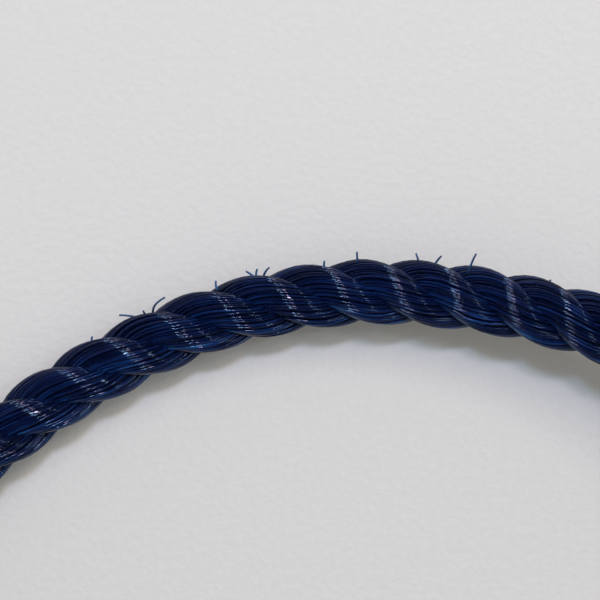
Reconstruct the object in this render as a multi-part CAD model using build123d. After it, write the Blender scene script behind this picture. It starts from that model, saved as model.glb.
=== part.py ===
"""A coiled dock line: three-strand 10 mm rope with a spliced eye, put away in one neat coil.

Millimetres, +Z up, the floor at z = 0. The coil is ten turns stacked 3-4-3 and is one solid of
their outer shape; the eye lies beside it, flat on its far left and lifted on its right, where
both legs climb over the coil to the splice that rides on top of the turns.
"""
from build123d import *
from math import cos, sin, tan, radians, pi
import os

os.makedirs("parts", exist_ok=True)

# ---------------------------------------------------------------- driving sizes
ROPE_D = 10.0                 # three-strand line
ROPE_R = ROPE_D / 2
COIL_X, COIL_Y = 19.91, -73.55   # middle of the coil; the whole is centred on the origin
COIL_R = 65.0                 # mean radius of the turns
SIDE_STEP = 10.6              # from one turn to the next in a layer
LAYER_STEP = 9.2              # from one layer to the next
LAYERS = (3, 4, 3)            # turns in each layer, bottom first
SPLICE_D = 14.0               # over the tucked strands
SPLICE_Z = 36.5               # middle of the splice, clear of the turns below it
LEAD_Z = 34.4                 # middle of the line where it leaves the splice
LEG_SIDE = 5.0                # each leg's middle from the middle of the throat
THROAT_FROM, SPLICE_FROM, TAPER_FROM, LEAD_FROM = 195.0, 210.0, 250.0, 275.0   # degrees
TAIL_R = COIL_R + 23.7        # the tail lies against the outside of the bottom layer
TAIL_Z = ROPE_R + 0.1
WHIP_FROM, TIP_FROM, TIP_TO = 338.0, 346.0, 348.5                              # degrees
WHIP_WALL = 0.8
TIP_D = 9.0
STRAPS = {"coil_strap_1": 8.0, "coil_strap_2": 118.0}      # name: middle angle, degrees
STRAP_WIDTH = 16.0
STRAP_THICK = 1.8
END_THICK = 1.2                # of the strap's turned-back end
WAIST = 2.3                   # how far a strap pulls the turns in
RING_LONG, RING_TALL, RING_BAR, RING_THICK = 22.0, 12.0, 2.6, 2.4

# the eye from the coil's middle, as the corner points its tangent arcs round off:
# left leg, top, right leg
EYE_POINTS = [
    (-67.8, -16.8, 36.5),
    (-67.8, 5.0, 36.5),
    (-74.0, 29.0, 36.0),
    (-88.0, 54.0, 29.0),
    (-104.0, 80.0, 16.0),
    (-121.0, 107.0, 7.0),
    (-130.0, 138.0, 5.2),
    (-125.0, 169.0, 5.2),
    (-106.0, 193.0, 5.2),
    (-78.0, 215.5, 5.2),
    (-50.0, 227.2, 5.4),
    (-21.0, 228.5, 7.4),
    (12.5, 219.5, 14.0),
    (38.0, 198.0, 21.5),
    (53.0, 167.0, 28.5),
    (55.5, 132.0, 33.5),
    (47.0, 101.0, 36.0),
    (30.0, 76.0, 37.0),
    (3.0, 62.0, 37.2),
    (-27.0, 52.0, 37.0),
    (-47.0, 33.0, 36.7),
    (-57.8, 8.0, 36.5),
    (-57.8, -16.8, 36.5),
]


# ---------------------------------------------------------------- helpers
def on_coil(angle, radius, z):
    """Point at this angle (degrees) and radius round the coil's middle."""
    return (COIL_X + radius * cos(radians(angle)), COIL_Y + radius * sin(radians(angle)), z)


def corner_radii(points):
    """Arc radius at every inner corner, from the shorter run beside it and its turn."""
    radii = []
    for a, b, c in zip(points, points[1:], points[2:]):
        run_in, run_out = Vector(*b) - Vector(*a), Vector(*c) - Vector(*b)
        half_turn = radians(run_in.get_angle(run_out)) / 2
        radii.append(0.45 * min(run_in.length, run_out.length) / tan(half_turn))
    return radii


def cord(points, name):
    """Plain round tube along the points, its corners rounded by tangent arcs."""
    radii = corner_radii(points)
    path = FilletPolyline(*points, radius=radii)
    start = Plane(origin=path @ 0, z_dir=path % 0)
    tube = sweep(start * Circle(ROPE_R), path=path)
    expected = pi * ROPE_R ** 2 * path.length
    print(f"{name}: length {path.length:.1f} mm, smallest radius {min(radii):.1f} mm, "
          f"volume / (section x length) = {tube.volume / expected:.4f}")
    return tube


def coil_section(inset):
    """Outer shape of the stacked turns, taken in by the inset on every side."""
    corners = []
    for layer, turns in enumerate(LAYERS):
        half = (turns - 1) / 2 * SIDE_STEP
        z = ROPE_R + layer * LAYER_STEP
        corners = [(COIL_R - half, z)] + corners + [(COIL_R + half, z)]
    middles = Polygon(*corners, align=None)
    return Plane.XZ * offset(middles, amount=ROPE_R - inset, kind=Kind.ARC)


def round_coil(section, angle=0.0, arc=360.0):
    """The section turned round the coil's axis, its arc starting at the angle."""
    body = revolve(section, axis=Axis.Z, revolution_arc=arc)
    return Pos(COIL_X, COIL_Y, 0) * Rot(0, 0, angle) * body


def strap_arc():
    """Angle a strap's width takes up at the turns' mean radius."""
    return STRAP_WIDTH / COIL_R * 180 / pi


def ring_of_section(outer_inset, inner_inset):
    """Band between two insets of the coil's section."""
    return coil_section(outer_inset) - coil_section(inner_inset)


def along_splice(angle, z, diameter):
    """Disc across the splice at this angle."""
    tangent = (-sin(radians(angle)), cos(radians(angle)), 0)
    return Plane(origin=on_coil(angle, COIL_R, z), z_dir=tangent) * Circle(diameter / 2)


def splice_z(angle):
    """Height of the splice's middle: level, then down with its taper."""
    if angle <= TAPER_FROM:
        return SPLICE_Z
    share = (angle - TAPER_FROM) / (LEAD_FROM - TAPER_FROM)
    return SPLICE_Z + (LEAD_Z - SPLICE_Z) * share


# ---------------------------------------------------------------- pieces
def make_eye():
    return cord([(COIL_X + x, COIL_Y + y, z) for x, y, z in EYE_POINTS], "eye_rope")


def lead_points():
    """From the splice's taper down onto the top layer."""
    stops = [(LEAD_FROM, COIL_R, LEAD_Z), (288.0, COIL_R, 34.0), (301.0, COIL_R - 1.0, 33.7),
             (314.0, COIL_R - 2.5, 33.6), (326.0, COIL_R - 4.5, 33.6)]
    return [on_coil(*stop) for stop in stops]


def make_tail():
    """Out of the bottom layer and along the outside of the coil."""
    inside = COIL_R + SIDE_STEP
    stops = [(256.0, inside), (269.0, inside + 2.0), (282.0, inside + 6.5), (295.0, TAIL_R - 2.6),
             (308.0, TAIL_R), (323.0, TAIL_R), (WHIP_FROM, TAIL_R)]
    points = [on_coil(angle, radius, TAIL_Z) for angle, radius in stops]
    return cord(points, "tail_rope"), points


def make_tail_end(points):
    """Whipping sleeve over the line's end and the melted tip beyond it."""
    last, before = Vector(*points[-1]), Vector(*points[-2])
    ahead = (last - before).normalized()
    whip_long = (TIP_FROM - WHIP_FROM) * pi / 180 * TAIL_R
    tip_long = (TIP_TO - TIP_FROM) * pi / 180 * TAIL_R
    lift = Vector(0, 0, WHIP_WALL)
    whip = extrude(Plane(origin=last + lift, z_dir=ahead) * Circle(ROPE_R + WHIP_WALL), whip_long)
    tip_start = last + lift + ahead * whip_long
    tip = extrude(Plane(origin=tip_start, z_dir=ahead) * Circle(TIP_D / 2), tip_long)
    tip = fillet(tip.edges().sort_by(Axis(tip_start, ahead))[-1], 1.2)
    return whip, tip


def make_throat():
    """Where the eye's two legs lie side by side and close into the splice."""
    left, right = (Vector(COIL_X + x, COIL_Y + y, z) for x, y, z in (EYE_POINTS[0], EYE_POINTS[-1]))
    both_legs = Plane(origin=(left + right) * 0.5, x_dir=(1, 0, 0), z_dir=(0, -1, 0))
    wide = both_legs * SlotCenterToCenter(2 * LEG_SIDE, ROPE_D)
    half = along_splice((THROAT_FROM + SPLICE_FROM) / 2, SPLICE_Z, SPLICE_D + 1.5)
    return loft([wide, half, along_splice(SPLICE_FROM, SPLICE_Z, SPLICE_D)])


def make_splice():
    """Full tucks, then the taper down to the line's own diameter."""
    steps = [SPLICE_FROM + (TAPER_FROM - SPLICE_FROM) * k / 4 for k in range(5)]
    body = loft([along_splice(a, SPLICE_Z, SPLICE_D) for a in steps])
    steps = [TAPER_FROM + (LEAD_FROM - TAPER_FROM) * k / 3 for k in range(3)]
    sizes = [SPLICE_D + (ROPE_D - SPLICE_D) * k / 3 for k in range(3)]
    first, second = (Vector(*point) for point in lead_points()[:2])
    lead_end = Plane(origin=first, z_dir=second - first) * Circle(ROPE_R)
    taper = loft([along_splice(a, splice_z(a), d) for a, d in zip(steps, sizes)] + [lead_end])
    return body, taper


def make_strap(angle):
    """Hook-and-loop strap round the turns, in the waist it pulls."""
    band = ring_of_section(WAIST - STRAP_THICK, WAIST)
    return round_coil(band, angle - strap_arc() / 2, strap_arc())


def make_strap_ring(angle):
    """The strap's moulded ring, lying flat on the strap where it crosses the top layer."""
    top = 2 * ROPE_R + (len(LAYERS) - 1) * LAYER_STEP - WAIST + STRAP_THICK
    tangent = (-sin(radians(angle)), cos(radians(angle)), 0)
    face = Plane(origin=on_coil(angle, COIL_R, top), x_dir=tangent, z_dir=(0, 0, 1))
    outer = RectangleRounded(RING_LONG, RING_TALL, 2.5)
    inner = RectangleRounded(RING_LONG - 2 * RING_BAR, RING_TALL - 2 * RING_BAR, 0.8)
    return extrude(face * (outer - inner), RING_THICK)


def make_strap_end(angle):
    """The strap's free end, turned back round the ring's outer bar and closed on the strap."""
    band = ring_of_section(WAIST - STRAP_THICK - END_THICK, WAIST - STRAP_THICK)
    side, low, reach = RING_TALL / 2, 8.0, 40.0
    kept = Pos(COIL_R + side + reach / 2, low + reach / 2) * Rectangle(reach, reach)
    arc = strap_arc() * 0.92
    return round_coil(band & (Plane.XZ * kept), angle - arc / 2, arc)


def build():
    """Every piece by its node name."""
    pieces = {}
    coil = round_coil(coil_section(0.0))
    waist = ring_of_section(-0.5, WAIST)
    for name, angle in STRAPS.items():
        coil -= round_coil(waist, angle - strap_arc() / 2, strap_arc())
    pieces["eye_rope"] = make_eye()
    pieces["throat"] = make_throat()
    pieces["splice_body"], pieces["splice_taper"] = make_splice()
    pieces["lead_in"] = cord(lead_points(), "lead_in")
    pieces["tail_rope"], tail_points = make_tail()
    pieces["end_whipping"], pieces["fused_tip"] = make_tail_end(tail_points)
    coil -= pieces["tail_rope"]
    for number, (name, angle) in enumerate(STRAPS.items(), start=1):
        ring = make_strap_ring(angle)
        coil -= ring
        pieces[name] = make_strap(angle)
        pieces[f"strap_ring_{number}"] = ring
        pieces[f"strap_end_{number}"] = make_strap_end(angle) - ring
    pieces["coil_turns"] = coil
    return pieces


COLOURS = {
    "coil_turns": (0.03, 0.06, 0.20), "eye_rope": (0.04, 0.08, 0.24), "lead_in": (0.04, 0.08, 0.24),
    "tail_rope": (0.04, 0.08, 0.24), "throat": (0.05, 0.10, 0.28), "splice_body": (0.05, 0.10, 0.28),
    "splice_taper": (0.05, 0.10, 0.28), "end_whipping": (0.75, 0.75, 0.72), "fused_tip": (0.02, 0.03, 0.08),
}

pieces = build()
labelled = []
for name in sorted(pieces):
    solids = pieces[name].solids()
    if len(solids) != 1:
        print("WARNING", name, "has", len(solids), "solids")
    solid = max(solids, key=lambda s: s.volume)
    solid.label = name
    solid.color = Color(*COLOURS.get(name, (0.06, 0.06, 0.07)))
    export_step(solid, f"parts/{name}.step")
    labelled.append(solid)
    box = solid.bounding_box()
    print(f"{name}: volume {solid.volume / 1000:.2f} cm3, z {box.min.Z:.2f} to {box.max.Z:.2f}")

result = Compound(label="coiled_dock_line", children=labelled)
box = result.bounding_box()
print("box", [round(v, 2) for v in (box.min.X, box.min.Y, box.min.Z, box.max.X, box.max.Y, box.max.Z)])
print("centre", round((box.min.X + box.max.X) / 2, 2), round((box.min.Y + box.max.Y) / 2, 2))
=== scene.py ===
"""Looks of the coiled dock line: three-strand navy rope of coarse filaments, built round the CAD part.

Metres, +Z up, in the part's own frame. The rope's routes are NURBS curves with the part's route
points as control points; strands and filaments are swept along the points those curves give.
"""
import bpy
import math
import numpy as np
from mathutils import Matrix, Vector


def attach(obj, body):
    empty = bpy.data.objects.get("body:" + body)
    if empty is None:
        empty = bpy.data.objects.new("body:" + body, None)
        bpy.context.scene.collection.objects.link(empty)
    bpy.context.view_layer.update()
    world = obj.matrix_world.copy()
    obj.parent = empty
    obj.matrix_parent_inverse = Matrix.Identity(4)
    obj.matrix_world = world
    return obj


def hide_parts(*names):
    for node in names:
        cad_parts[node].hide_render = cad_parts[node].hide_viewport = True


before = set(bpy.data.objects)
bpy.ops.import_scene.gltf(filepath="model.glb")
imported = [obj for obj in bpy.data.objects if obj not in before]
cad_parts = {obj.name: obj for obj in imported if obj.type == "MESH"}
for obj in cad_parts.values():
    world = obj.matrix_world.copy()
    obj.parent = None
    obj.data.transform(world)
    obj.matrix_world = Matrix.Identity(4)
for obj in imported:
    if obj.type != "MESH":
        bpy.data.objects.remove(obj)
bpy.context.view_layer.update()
rng = np.random.default_rng(7)

# ---------------------------------------------------------------- sizes, as in the part
MM = 0.001
ROPE_D = 10.0 * MM
COIL_X, COIL_Y = 19.91 * MM, -73.55 * MM
COIL_R = 65.0 * MM
SIDE_STEP, LAYER_STEP = 10.6 * MM, 9.2 * MM
SPLICE_Z = 36.5 * MM
LEAD_FROM, LEAD_Z = 275.0, 34.4 * MM             # where the lead leaves the splice, in degrees
TAIL_R = COIL_R + 23.7 * MM
TAIL_Z = 5.1 * MM
WHIP_FROM = 338.0                                # degrees
WHIP_LONG, TIP_LONG = 12.4 * MM, 3.9 * MM
STRAP_ANGLES = (8.0, 118.0)
LEG_SIDE = 5.0 * MM                              # each leg's middle from the middle of the throat

# lay of the rope
PITCH = 2.64 * ROPE_D                            # right-hand lay
HELIX_R = 0.222 * ROPE_D                         # rope's middle to a strand's middle
STRAND_R = 0.288 * ROPE_D
COIL_STRAND_R = 0.96 * STRAND_R                  # where the filaments are relief only
LAY_PHASE = 6.0 * MM                             # moves the strands' crossings along the rope
FILAMENTS = 44                                   # round the outside of each strand
FILAMENT_R = 0.0190 * ROPE_D
CROWN_ANGLE = math.radians(10)                   # filaments from the rope's axis, on the crowns
BACK_TWIST = (2 * math.pi * 0.5 * ROPE_D / PITCH - math.tan(CROWN_ANGLE)) / STRAND_R

# unevenness of the filaments, as wavelength and amount
PLACE_WANDER = (8.0 * MM, 0.45)                  # amount in filament spacings
PLACE_JITTER = (3.2 * MM, 0.18)
DEPTH_WANDER = (5.0 * MM, 0.06 * MM)
SUNK, DEEPEST, PROUDEST = 0.03 * MM, -0.2 * MM, 0.06 * MM
THICKNESS_SPREAD = (0.85, 1.12)
SHADE_SPREAD = 0.85
PAINTED_LIGHT_AWAY_FROM = np.array((0.0, 0.78, 0.62))     # painted light: filaments turned away from here are made lighter, standing for light that comes through translucent filaments on the rim
PAINTED_LIGHT_FROM, RIM_PAINTED_LIGHT = 0.55, 0.55                 # translucent ones are where light comes through

# the eye's corner points from the coil's middle, in metres: left leg, top, right leg
EYE_POINTS = [
    (-0.0678, -0.0168, 0.0365),
    (-0.0678, 0.0050, 0.0365),
    (-0.0740, 0.0290, 0.0360),
    (-0.0880, 0.0540, 0.0290),
    (-0.1040, 0.0800, 0.0160),
    (-0.1210, 0.1070, 0.0070),
    (-0.1300, 0.1380, 0.0052),
    (-0.1250, 0.1690, 0.0052),
    (-0.1060, 0.1930, 0.0052),
    (-0.0780, 0.2155, 0.0052),
    (-0.0500, 0.2272, 0.0054),
    (-0.0210, 0.2285, 0.0074),
    (0.0125, 0.2195, 0.0140),
    (0.0380, 0.1980, 0.0215),
    (0.0530, 0.1670, 0.0285),
    (0.0555, 0.1320, 0.0335),
    (0.0470, 0.1010, 0.0360),
    (0.0300, 0.0760, 0.0370),
    (0.0030, 0.0620, 0.0372),
    (-0.0270, 0.0520, 0.0370),
    (-0.0470, 0.0330, 0.0367),
    (-0.0578, 0.0080, 0.0365),
    (-0.0578, -0.0168, 0.0365),
]
EYE_TOP = Vector((COIL_X - 0.0290, COIL_Y + 0.2280, 0.0))

# (side from the turns' mean radius, height) of each turn, from the splice's end to the tail
TURNS = [(-1, 2), (0, 2), (1, 2), (1.5, 1), (0.5, 1), (-0.5, 1), (-1.5, 1), (-1, 0), (0, 0), (1, 0)]
SHIFT_FROM, SHIFT_LONG = 296.0, 36.0             # where each turn moves over to the next place
FIRST_TURN_FROM, LAST_TURN_TO = 362.0, 256.0 + 3600.0
TURN_STEP = 10.0                                 # degrees between the route's points
WAIST_SQUEEZE = 0.25                             # how far a strap draws the turns together
WAIST_REACH, WAIST_EASE = 27.0, 17.0             # degrees each side of a strap


# ---------------------------------------------------------------- routes
def on_coil(angle, radius, z):
    """Point at this angle (degrees) and radius round the coil's middle."""
    a = math.radians(angle)
    return (COIL_X + radius * math.cos(a), COIL_Y + radius * math.sin(a), z)


def smooth(t):
    """Eases from 0 to 1."""
    t = min(max(t, 0.0), 1.0)
    return t * t * (3 - 2 * t)


def turn_place(k):
    """Side from the mean radius, and height, of this turn."""
    side, layer = TURNS[k]
    return side * SIDE_STEP, 0.5 * ROPE_D + layer * LAYER_STEP


def squeeze(angle):
    """1 away from the straps, less under them."""
    off = min(abs((angle - strap + 180) % 360 - 180) for strap in STRAP_ANGLES)
    return 1 - WAIST_SQUEEZE * smooth((WAIST_REACH - off) / WAIST_EASE)


def turn_point(angle):
    """The line's middle at this running angle, counted on through all the turns."""
    k = int((angle - SHIFT_FROM) // 360)
    share = smooth(((angle - SHIFT_FROM) % 360) / SHIFT_LONG)
    here, before = turn_place(k), turn_place(max(k - 1, 0))
    side = before[0] + (here[0] - before[0]) * share
    z = before[1] + (here[1] - before[1]) * share
    middle_z = 0.5 * ROPE_D + LAYER_STEP
    side, rise = side * squeeze(angle), (z - middle_z) * squeeze(angle)
    return on_coil(angle, COIL_R + side, middle_z + rise)


def lead_points():
    """From the splice along the top layer; the last two dive into it."""
    stops = [(288, 0.0, 34.0), (301, -1.0, 33.7), (314, -2.5, 33.6), (326, -4.5, 33.6),
             (338, -7.0, 31.4), (350, -9.0, 27.4)]
    along_top = [on_coil(a, COIL_R + side * MM, z * MM) for a, side, z in stops]
    return [on_coil(LEAD_FROM, COIL_R, LEAD_Z)] + along_top


def tail_points():
    """Out of the bottom layer and along the outside of the coil, through the whipping."""
    inside = COIL_R + SIDE_STEP
    stops = [(256, inside), (269, inside + 2.0 * MM), (282, inside + 6.5 * MM),
             (295, TAIL_R - 2.6 * MM), (308, TAIL_R), (323, TAIL_R), (WHIP_FROM, TAIL_R)]
    points = [on_coil(a, r, TAIL_Z) for a, r in stops]
    ahead = (Vector(points[-1]) - Vector(points[-2])).normalized()
    return points + [tuple(Vector(points[-1]) + ahead * WHIP_LONG)]


def coil_points():
    """The lead, every turn and the tail as one route."""
    count = int((LAST_TURN_TO - FIRST_TURN_FROM) // TURN_STEP)
    turns = [turn_point(FIRST_TURN_FROM + i * TURN_STEP) for i in range(count)]
    return lead_points() + turns + tail_points()


def link(obj):
    """Puts the object in the scene."""
    bpy.context.scene.collection.objects.link(obj)
    return obj


def route(name, points, resolution):
    """Points along the NURBS curve that has these control points."""
    curve = bpy.data.curves.new(name, "CURVE")
    curve.dimensions = "3D"
    curve.resolution_u = resolution
    spline = curve.splines.new("NURBS")
    spline.points.add(len(points) - 1)
    for p, xyz in zip(spline.points, points):
        p.co = (*xyz, 1.0)
    spline.order_u = 3
    spline.use_endpoint_u = True
    holder = link(bpy.data.objects.new(name, curve))
    evaluated = holder.evaluated_get(bpy.context.evaluated_depsgraph_get())
    mesh = bpy.data.meshes.new_from_object(evaluated)
    line = np.array([v.co[:] for v in mesh.vertices])
    bpy.data.objects.remove(holder)
    bpy.data.meshes.remove(mesh)
    apart = np.r_[True, np.linalg.norm(np.diff(line, axis=0), axis=1) > 1e-6]
    return line[apart]


def along(line):
    """Distance along the line at each of its points."""
    return np.r_[0.0, np.cumsum(np.linalg.norm(np.diff(line, axis=0), axis=1))]


def at_steps(line, step):
    """The line's points taken at even steps."""
    s = along(line)
    even = np.linspace(0, s[-1], max(int(round(s[-1] / step)), 2) + 1)
    return np.stack([np.interp(even, s, line[:, i]) for i in range(3)], axis=1)


def unit(v):
    """Vectors of the same direction and length 1."""
    return v / np.maximum(np.linalg.norm(v, axis=-1, keepdims=True), 1e-12)


def carried_frame(line):
    """Two directions across the line at each point, carried along it without twist."""
    t = unit(np.gradient(line, axis=0))
    n = np.empty_like(line)
    side = np.cross(t[0], (0, 0, 1.0))
    n[0] = unit(side if np.linalg.norm(side) > 0.1 else np.cross(t[0], (0, 1.0, 0)))
    for i in range(1, len(line)):
        n[i] = n[i - 1] - t[i] * np.dot(n[i - 1], t[i])
        n[i] = unit(n[i])
    return n, np.cross(t, n)


def round_line(line, angle, radius):
    """The line moved out by the radius at this angle round it."""
    n, b = carried_frame(line)
    out = np.cos(angle)[:, None] * n + np.sin(angle)[:, None] * b
    return line + out * np.broadcast_to(radius, angle.shape)[:, None], out


# ---------------------------------------------------------------- meshes
class Tubes:
    """Many round tubes gathered into one mesh, with a shade for each and UVs along them."""

    def __init__(self):
        self.verts, self.faces, self.shades, self.uvs, self.count = [], [], [], [], 0

    def add(self, line, out, radius, sides, shade=0.5, turns=1.0, start_turn=None):
        """One closed tube along the line; turns and start_turn set how its UVs go round it."""
        m = len(line)
        t = unit(np.gradient(line, axis=0))
        n = unit(out - t * np.sum(out * t, axis=1, keepdims=True))
        b = np.cross(t, n)
        phi = np.arange(sides) * 2 * math.pi / sides
        ring = np.cos(phi)[None, :, None] * n[:, None] + np.sin(phi)[None, :, None] * b[:, None]
        size = np.broadcast_to(radius, (m,))[:, None, None]
        self.verts.append((line[:, None] + ring * size).reshape(-1, 3))
        i, j = np.meshgrid(np.arange(m - 1), np.arange(sides), indexing="ij")
        a, c = i * sides + j, i * sides + (j + 1) % sides
        quads = np.stack([a, c, c + sides, a + sides], axis=-1).reshape(-1, 4) + self.count
        self.faces += quads.tolist()
        twist = np.zeros(m) if start_turn is None else start_turn
        s = along(line)
        u0, u1 = twist[i] + j / sides * turns, twist[i] + (j + 1) / sides * turns
        v0, v1 = twist[i + 1] + j / sides * turns, twist[i + 1] + (j + 1) / sides * turns
        uv = np.stack([u0, s[i], u1, s[i], v1, s[i + 1], v0, s[i + 1]], axis=-1)
        self.uvs.append(uv.reshape(-1, 2))
        self.faces.append([self.count + k for k in range(sides)][::-1])
        self.faces.append([self.count + (m - 1) * sides + k for k in range(sides)])
        self.uvs.append(np.zeros((2 * sides, 2)))
        self.shades.append(np.repeat(np.broadcast_to(shade, (m,)), sides))
        self.count += m * sides
        return self

    def build(self, name, material):
        """One object with all the tubes added so far."""
        mesh = bpy.data.meshes.new(name)
        mesh.from_pydata(np.concatenate(self.verts).tolist(), [], self.faces)
        layer = mesh.uv_layers.new(name="lay")
        layer.data.foreach_set("uv", np.concatenate(self.uvs).ravel())
        shade = mesh.attributes.new("shade", "FLOAT", "POINT")
        shade.data.foreach_set("value", np.concatenate(self.shades))
        mesh.polygons.foreach_set("use_smooth", np.ones(len(mesh.polygons), bool))
        mesh.materials.append(material)
        return link(bpy.data.objects.new(name, mesh))


def slow_noise(s, wavelength, amount):
    """A smooth wandering value along the distances s."""
    knots = int(s[-1] / wavelength) + 3
    return np.interp(s / wavelength, np.arange(knots), rng.normal(0, amount, knots))


def strand_line(line, which):
    """Middle of one of the three strands laid round the rope's middle."""
    angle = 2 * math.pi * ((along(line) + LAY_PHASE) / PITCH + which / 3)
    return round_line(line, angle, HELIX_R)


def filament_turns(s):
    """How many filaments the relief has moved round a strand at the distances s."""
    return BACK_TWIST * s * FILAMENTS / (2 * math.pi)


def add_filaments(tubes, centre, out, s, picks, sides):
    """The outer filaments of a strand, each one wandering a little in its place."""
    t = unit(np.gradient(centre, axis=0))
    n = unit(out - t * np.sum(out * t, axis=1, keepdims=True))
    b = np.cross(t, n)
    for k in picks:
        place = k + slow_noise(s, *PLACE_WANDER) + slow_noise(s, *PLACE_JITTER)
        angle = 2 * math.pi * place / FILAMENTS - BACK_TWIST * s
        proud = slow_noise(s, *DEPTH_WANDER) - abs(rng.normal(0, SUNK))
        ray = np.cos(angle)[:, None] * n + np.sin(angle)[:, None] * b
        reach = STRAND_R - FILAMENT_R + np.clip(proud, DEEPEST, PROUDEST)
        # painted light: filaments facing away from the lights get a lighter shade value, as if lit
        # through from behind
        painted_rim_light = np.clip(PAINTED_LIGHT_FROM - ray @ PAINTED_LIGHT_AWAY_FROM, 0, 1) * RIM_PAINTED_LIGHT
        thick = FILAMENT_R * rng.uniform(*THICKNESS_SPREAD)
        tubes.add(centre + ray * reach[:, None], ray, thick, sides, SHADE_SPREAD * rng.uniform() + painted_rim_light)


# ---------------------------------------------------------------- materials
def new_material(name):
    """A node material, with its nodes, links and shader."""
    material = bpy.data.materials.new(name)
    material.use_nodes = True
    nodes = material.node_tree.nodes
    return material, nodes, material.node_tree.links, nodes["Principled BSDF"]


def ramp_of(nodes, stops):
    """Colour ramp with these places and colours."""
    ramp = nodes.new("ShaderNodeValToRGB")
    elements = ramp.color_ramp.elements
    while len(elements) < len(stops):
        elements.new(0.5)
    for element, (place, colour) in zip(elements, stops):
        element.position, element.color = place, (*colour, 1)
    return ramp


def noise_of(nodes, links, scale, where, detail=3.0):
    """Fine noise in object space."""
    noise = nodes.new("ShaderNodeTexNoise")
    noise.inputs["Scale"].default_value = scale
    noise.inputs["Detail"].default_value = detail
    links.new(where, noise.inputs["Vector"])
    return noise.outputs["Fac"]


def maths(nodes, links, kind, a, b=None):
    """Math node of this kind; a and b are numbers or sockets."""
    node = nodes.new("ShaderNodeMath")
    node.operation = kind
    for socket, value in zip(node.inputs, (a, b)):
        if isinstance(value, (int, float)):
            socket.default_value = value
        elif value is not None:
            links.new(value, socket)
    return node.outputs[0]


def scaled(nodes, links, value, factor, offset=0.0):
    """value x factor + offset."""
    return maths(nodes, links, "ADD", maths(nodes, links, "MULTIPLY", value, factor), offset)


def add_bump(nodes, links, shader, height, depth, strength=1.0):
    """Relief of this depth on the shader."""
    bump = nodes.new("ShaderNodeBump")
    bump.inputs["Strength"].default_value = strength
    bump.inputs["Distance"].default_value = depth
    links.new(height, bump.inputs["Height"])
    links.new(bump.outputs["Normal"], shader.inputs["Normal"])


def colour_by(nodes, links, shader, value, stops):
    """Shader colour from a ramp over the value."""
    ramp = ramp_of(nodes, stops)
    links.new(value, ramp.inputs["Fac"])
    links.new(ramp.outputs["Color"], shader.inputs["Base Color"])


# navy from dark to light: filaments' own tones spread over it, painted light on the rim reaches the
# light end, painted shade in grooves and strand cores the dark end
NAVY = [(0.0, (0.0017, 0.0036, 0.014)), (0.5, (0.0026, 0.0072, 0.035)),
        (0.8, (0.0055, 0.0240, 0.092)), (1.0, (0.0170, 0.0880, 0.220))]


def filament_material():
    """Extruded polypropylene monofilament: glossy navy, each filament its own tone, made lighter on the
    rim by painted light.
    """
    material, nodes, links, shader = new_material("navy_filament")
    shade = nodes.new("ShaderNodeAttribute")
    shade.attribute_name = "shade"
    where = nodes.new("ShaderNodeTexCoord").outputs["Object"]
    own = maths(nodes, links, "MULTIPLY", shade.outputs["Fac"], 0.6)
    centred = maths(nodes, links, "SUBTRACT", noise_of(nodes, links, 240.0, where), 0.35)
    blotch = maths(nodes, links, "MULTIPLY", centred, 0.7)
    colour_by(nodes, links, shader, maths(nodes, links, "ADD", own, blotch), NAVY)
    rough = scaled(nodes, links, noise_of(nodes, links, 400.0, where), 0.12, 0.04)
    links.new(rough, shader.inputs["Roughness"])
    shader.inputs["IOR"].default_value = 1.49
    shader.inputs["Transmission Weight"].default_value = 0.05
    add_bump(nodes, links, shader, noise_of(nodes, links, 700.0, where), 0.03 * MM, 0.20)
    return material


def strand_material():
    """The same rope where filaments are drawn as relief on each strand."""
    material, nodes, links, shader = new_material("navy_strand")
    uv = nodes.new("ShaderNodeUVMap")
    uv.uv_map = "lay"
    parts = nodes.new("ShaderNodeSeparateXYZ")
    links.new(uv.outputs["UV"], parts.inputs[0])
    where = nodes.new("ShaderNodeTexCoord").outputs["Object"]
    place = maths(nodes, links, "ADD", parts.outputs[0], noise_of(nodes, links, 120.0, where))
    wave = maths(nodes, links, "SINE", maths(nodes, links, "MULTIPLY", place, math.pi))
    ridge = maths(nodes, links, "ABSOLUTE", wave)
    own = nodes.new("ShaderNodeTexWhiteNoise")
    own.noise_dimensions = "1D"
    links.new(maths(nodes, links, "FLOOR", place), own.inputs["W"])
    # painted shade: the colour darkens to the darkest navy in the grooves between the relief's
    # filaments, over each filament's own random tone
    colour_by(nodes, links, shader, maths(nodes, links, "MULTIPLY", own.outputs["Value"], ridge), NAVY)
    rough = scaled(nodes, links, noise_of(nodes, links, 300.0, where), 0.2, 0.08)
    links.new(rough, shader.inputs["Roughness"])
    add_bump(nodes, links, shader, ridge, 0.30 * MM)
    return material


def grained_material(name, low, high, scale, roughness, bump_depth):
    """Two mixed tones with a fine relief, for twine, plastic, melted filament and the floor."""
    material, nodes, links, shader = new_material(name)
    where = nodes.new("ShaderNodeTexCoord").outputs["Object"]
    noise = noise_of(nodes, links, scale, where, 6.0)
    colour_by(nodes, links, shader, noise, [(0.3, low), (0.7, high)])
    links.new(scaled(nodes, links, noise, 0.25, roughness), shader.inputs["Roughness"])
    add_bump(nodes, links, shader, noise, bump_depth)
    return material


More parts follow.
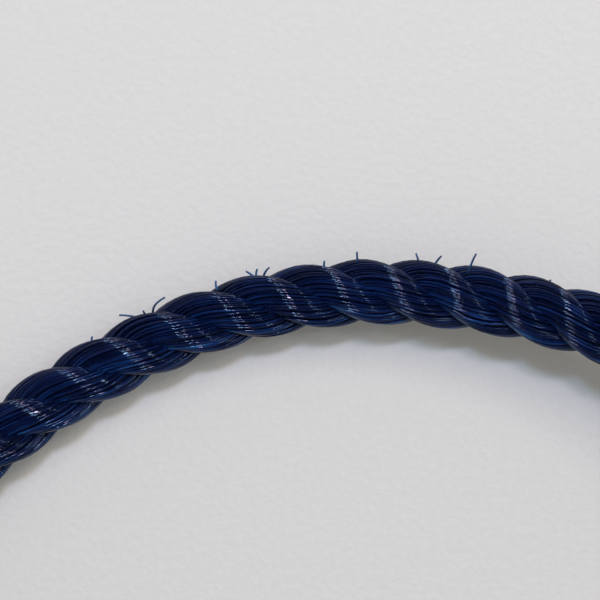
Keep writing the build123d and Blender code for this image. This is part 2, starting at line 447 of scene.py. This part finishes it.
def webbing_material():
    """Black hook-and-loop strap: a fine looped pile with wear."""
    material, nodes, links, shader = new_material("strap_webbing")
    where = nodes.new("ShaderNodeTexCoord").outputs["Object"]
    pile = nodes.new("ShaderNodeTexVoronoi")
    pile.inputs["Scale"].default_value = 1400.0
    links.new(where, pile.inputs["Vector"])
    worn = maths(nodes, links, "MULTIPLY", noise_of(nodes, links, 90.0, where), 0.4)
    tone = scaled(nodes, links, pile.outputs["Distance"], 0.7, worn)
    colour_by(nodes, links, shader, tone, [(0.2, (0.004, 0.004, 0.005)), (0.9, (0.028, 0.028, 0.031))])
    shader.inputs["Roughness"].default_value = 0.85
    shader.inputs["Sheen Weight"].default_value = 0.1
    add_bump(nodes, links, shader, pile.outputs["Distance"], 0.35 * MM)
    return material


# ---------------------------------------------------------------- pieces
def keep(obj, slot, *nodes):
    """The piece rides on the part and stands for the CAD nodes, which are hidden; slot is not used."""
    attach(obj, "root")
    if nodes:
        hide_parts(*nodes)
    return obj


def make_eye(material):
    """Eye rope: three strands, each of real filaments round a dark core."""
    core_r, core_sides, filament_sides = STRAND_R - 1.7 * FILAMENT_R, 12, 5
    points = [(COIL_X + x, COIL_Y + y, z) for x, y, z in EYE_POINTS]
    line = at_steps(route("eye_route", points, 24), 1.0 * MM)
    s = along(line)
    for which in range(3):
        centre, out = strand_line(line, which)
        for half in range(2):
            tubes = Tubes()
            if half == 0:
                # the core is drawn in the darkest navy (shade 0): painted shade for the inner filaments
                # seen between the outer ones
                tubes.add(centre[::2], out[::2], core_r, core_sides, 0.0)
            add_filaments(tubes, centre, out, s, range(half, FILAMENTS, 2), filament_sides)
            name = f"eye_strand_{which + 1}{'ab'[half]}"
            keep(tubes.build(name, material), "line", "eye_rope")
    return line


def make_coil(strand, twine, melted):
    """Lead, ten turns and tail as one rope, with its whipping and melted tip."""
    line = at_steps(route("coil_route", coil_points(), 12), 2.0 * MM)
    s = along(line)
    for which in range(3):
        centre, out = strand_line(line, which)
        tubes = Tubes().add(centre, out, COIL_STRAND_R, 16, 0.5, FILAMENTS, filament_turns(s))
        keep(tubes.build(f"coil_strand_{which + 1}", strand), "line",
                           "coil_turns", "lead_in", "tail_rope")
    whip, tip = make_tail_end(line, twine, melted)


def make_tail_end(line, twine, melted):
    """Close turns of twine over the last of the line, and the blunt melted end."""
    turns, steps, twine_r, lift = 13, 20, 0.46 * MM, 0.55 * MM
    ahead = unit(line[-1] - line[-4])
    start = line[-1] - ahead * WHIP_LONG
    share = np.linspace(0.02, 0.98, turns * steps + 1)
    axis = start + ahead * (share * WHIP_LONG)[:, None]
    axis[:, 2] += lift
    wrapped, out = round_line(axis, share * turns * 2 * math.pi, 0.5 * ROPE_D + 0.15 * MM)
    whip = Tubes().add(wrapped, out, twine_r, 8, 0.5).build("end_whipping_twine", twine)
    reach = np.array([0.0, 0.5, 0.85, 1.0]) * TIP_LONG
    sizes = np.array([0.47, 0.46, 0.38, 0.20]) * ROPE_D
    middles = line[-1] + ahead * (reach - 0.2 * MM)[:, None]
    tip_tube = Tubes().add(middles, np.tile((0, 0, 1.0), (4, 1)), sizes, 24, 0.0)
    tip = tip_tube.build("fused_line_end", melted)
    return keep(whip, "whipping", "end_whipping"), keep(tip, "fused_end", "fused_tip")


def splice_axis():
    """Middle of the splice, from between the legs to the lead."""
    taper_from = 250
    legs = [Vector((COIL_X + x, COIL_Y + y, z)) for x, y, z in (EYE_POINTS[0], EYE_POINTS[-1])]
    first = (legs[0] + legs[1]) / 2
    points = [tuple(first), tuple(first + Vector((0.5 * MM, -6.0 * MM, 0)))]
    for angle in range(205, int(LEAD_FROM), 10):
        share = max(0.0, (angle - taper_from) / (LEAD_FROM - taper_from))
        points.append(on_coil(angle, COIL_R, SPLICE_Z - share * (SPLICE_Z - LEAD_Z)))
    return points + [on_coil(LEAD_FROM, COIL_R, LEAD_Z)]


def make_splice(strand):
    """Standing strands run on from the right leg; the left leg's are tucked over and under them."""
    close_over, lay, swell = 16 * MM, 34 * MM, 1.5 * MM
    weave_depth, weave_from, weave_over = 1.1 * MM, 8 * MM, 8 * MM
    line = at_steps(route("splice_route", splice_axis(), 16), 1.0 * MM)
    s = along(line)
    share = s / s[-1]
    n, b = carried_frame(line)
    west = np.array((-1.0, 0, 0))
    close = np.clip(s / close_over, 0, 1)[:, None]
    close = close * close * (3 - 2 * close)
    crossing = 2 * math.pi * s / lay
    weave = np.clip((s - weave_from) / weave_over, 0, 1) * np.clip((1 - share) / 0.25, 0, 1)
    middle_r = HELIX_R + (swell * close[:, 0]) * np.clip((1 - share) / 0.3, 0, 1)
    for name, side in (("splice_standing_strands", -1), ("splice_tucked_strands", 1)):
        tubes = Tubes()
        offset = west * side * LEG_SIDE * (1 - close)
        for which in range(3):
            turn = -side * crossing + 2 * math.pi * which / 3
            radius = middle_r - side * weave_depth * weave * np.cos(3 * crossing)
            out = np.cos(turn)[:, None] * n + np.sin(turn)[:, None] * b
            size = np.full(len(s), STRAND_R)
            last = len(s)
            if side == 1:                        # tucked strands thin out and end one by one
                last = int(len(s) * (0.84 + 0.07 * which))
                size = size * np.clip((1.08 - share) / 0.4, 0.35, 1)
            centre = line + offset + out * radius[:, None]
            twist = filament_turns(s)
            tubes.add(centre[:last], out[:last], size[:last], 20, 0.5, FILAMENTS, twist[:last])
        keep(tubes.build(name, strand), "splice", "throat", "splice_body", "splice_taper")


# each cut end: distance along the eye from its top, angle from straight up towards the eye's
# outside, length, lean along the rope, curl; in millimetres and degrees
STRAYS = [
    (-47.3, 80, 0.7, 0.4, 0.2), (-39.8, 84, 1.6, -1.5, -1.2), (-38.3, 78, 0.8, -0.2, 0.1),
    (-37.2, 84, 2.2, 0.9, 1.8), (-27.1, 84, 1.3, 0.1, 0.2), (-21.8, 84, 1.3, -0.9, -0.4),
    (-21.1, 88, 1.5, 0.2, 0.3), (-20.4, 80, 1.4, 0.8, 0.5), (-11.3, 86, 0.7, 0.1, 0.1),
    (-6.4, 84, 2.4, -0.2, 0.1), (2.9, 86, 2.0, -0.6, -0.1), (4.2, 86, 1.9, 0.9, 0.2),
    (9.9, 58, 5.2, 0.6, 0.2), (21.8, 82, 0.6, 0.2, 0.1),
]


def make_strays(line, material):
    """Cut filament ends that stand out of the lay."""
    steps, root = 9, 0.42 * ROPE_D
    s = along(line)
    top = s[np.argmin(np.linalg.norm(line[:, :2] - np.array(EYE_TOP[:2]), axis=1))]
    inside_eye = np.array((COIL_X - 0.035, COIL_Y + 0.130, 0))
    tubes = Tubes()
    for place, angle, length, lean, curl in STRAYS:
        i = int(np.searchsorted(s, top + place * MM))
        ahead = unit(line[i + 1] - line[i - 1])
        outward = line[i] - inside_eye
        outward = unit(outward - ahead * np.dot(outward, ahead))
        up = np.array((0, 0, 1.0))
        ray = math.sin(math.radians(angle)) * outward + math.cos(math.radians(angle)) * up
        u = np.linspace(0, 1, steps)[:, None]
        reach = root + (0.62 * length * MM + 0.06 * ROPE_D) * u
        bend = ahead * (lean * u + curl * u ** 3) * MM
        tube = line[i] + ray * (reach - 0.25 * curl * u ** 3 * MM) + bend
        sizes = np.linspace(1.0, 0.75, steps) * FILAMENT_R
        tubes.add(tube, np.tile(ahead, (steps, 1)), sizes, 6, rng.uniform(0.5, 1.0))
    return keep(tubes.build("stray_filament_ends", material), "line")


# the fold's section from the ring's middle outwards: side from COIL_R and height, in millimetres
FOLD_SECTION = [(0.6, 28.0), (1.6, 28.9), (2.6, 30.5), (4.0, 31.0), (5.4, 30.6), (6.6, 29.6),
                (8.0, 28.7), (9.6, 28.2)]


def make_strap_fold(number, angle, webbing):
    """The strap's end, coming up through the ring and back over its outer bar."""
    columns, half_wide, thickness = 9, 7.2 * MM, 1.1 * MM
    half_arc = math.degrees(half_wide / COIL_R)
    verts = [on_coil(angle + half_arc * (2 * c / (columns - 1) - 1), COIL_R + side * MM, z * MM)
             for side, z in FOLD_SECTION for c in range(columns)]
    faces = [(r * columns + c, r * columns + c + 1, (r + 1) * columns + c + 1, (r + 1) * columns + c)
             for r in range(len(FOLD_SECTION) - 1) for c in range(columns - 1)]
    mesh = bpy.data.meshes.new(f"strap_fold_{int(angle)}")
    mesh.from_pydata(verts, [], faces)
    mesh.materials.append(webbing)
    fold = link(bpy.data.objects.new(f"strap_fold_{number}", mesh))
    thick = fold.modifiers.new("thickness", "SOLIDIFY")
    thick.thickness, thick.offset = thickness, 0.0
    fold.modifiers.new("soft", "SUBSURF").render_levels = 2
    keep(fold, "strap")


# ---------------------------------------------------------------- stage
VIEW_WIDE = 92.0 * MM                            # of the floor across the picture
VIEW_HIGH = 0.42                                 # camera above the rope's middle
CAMERA_FROM_TOP = Vector((-15.3 * MM, -1.3 * MM, VIEW_HIGH + 6 * MM))

# each light: place from above the eye's top, width, power, colour, whether gloss mirrors it
LIGHTS = {
    "softbox": ((0.22, 0.46, 0.80), 0.50, 4.05, (1.0, 0.955, 0.86), False),
    "window_cool": ((-0.09, 0.24, 0.62), 0.070, 1.45, (0.38, 0.62, 1.0), True),
    "window_rosy": ((0.01, 0.26, 0.62), 0.056, 0.90, (0.74, 0.66, 1.0), True),
    "lamp_far": ((0.32, 0.10, 0.58), 0.060, 0.40, (0.50, 0.72, 1.0), True),
}
ROOM_COLOUR, ROOM_STRENGTH = (0.88, 0.94, 1.0, 1), 0.58


def make_floor():
    """Plain pale surface the line lies on."""
    bpy.ops.mesh.primitive_plane_add(size=4.0, location=(0, 0, 0))
    floor = bpy.context.object
    floor.name = "floor"
    floor.data.materials.append(grained_material(
        "pale_surface", (0.606, 0.549, 0.472), (0.628, 0.568, 0.489), 900.0, 0.6, 0.12 * MM))


def area_light(name, offset, size, power, colour, mirrored):
    """Square light aimed at the eye's top."""
    light = bpy.data.lights.new(name, "AREA")
    light.shape, light.size, light.energy, light.color = "SQUARE", size, power, colour
    obj = link(bpy.data.objects.new(name, light))
    obj.location = EYE_TOP + Vector(offset)
    obj.rotation_euler = Vector(offset).to_track_quat("Z", "Y").to_euler()
    obj.visible_glossy = mirrored


def make_light():
    """Soft light from behind right, three small ones for gloss, and an even room."""
    world = bpy.data.worlds.new("world")
    bpy.context.scene.world = world
    world.use_nodes = True
    world.cycles_visibility.glossy = False
    background = world.node_tree.nodes["Background"]
    background.inputs["Color"].default_value = ROOM_COLOUR
    background.inputs["Strength"].default_value = ROOM_STRENGTH
    for name, settings in LIGHTS.items():
        area_light(name, *settings)
    bpy.context.scene.view_settings.view_transform = "Standard"


def make_camera():
    """Straight down on the eye's top, which sits right of and above the picture's middle."""
    camera = bpy.data.cameras.new("camera")
    camera.sensor_width = 36.0
    camera.lens = 36.0 * VIEW_HIGH / VIEW_WIDE
    camera.clip_start = 0.01
    obj = link(bpy.data.objects.new("camera", camera))
    obj.location = EYE_TOP + CAMERA_FROM_TOP
    bpy.context.scene.camera = obj


# ---------------------------------------------------------------- the scene
make_camera()
filament, strand, webbing = filament_material(), strand_material(), webbing_material()
twine = grained_material(
    "whipping_twine", (0.52, 0.50, 0.44), (0.70, 0.68, 0.62), 900.0, 0.55, 0.1 * MM)
melted = grained_material(
    "melted_filament", (0.002, 0.004, 0.015), (0.01, 0.02, 0.06), 500.0, 0.2, 0.4 * MM)
plastic = grained_material(
    "ring_plastic", (0.012, 0.012, 0.013), (0.02, 0.02, 0.022), 300.0, 0.3, 0.03 * MM)
loose_filament = grained_material(
    "stray_filament", (0.004, 0.015, 0.05), (0.03, 0.11, 0.24), 500.0, 0.2, 0.02 * MM)
eye_line = make_eye(filament)
make_coil(strand, twine, melted)
make_splice(strand)
make_strays(eye_line, loose_filament)
for number, angle in enumerate(STRAP_ANGLES, start=1):
    for node, material in ((f"coil_strap_{number}", webbing), (f"strap_end_{number}", webbing),
                           (f"strap_ring_{number}", plastic)):
        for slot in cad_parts[node].material_slots:
            slot.material = material
    make_strap_fold(number, angle, webbing)
make_floor()
make_light()
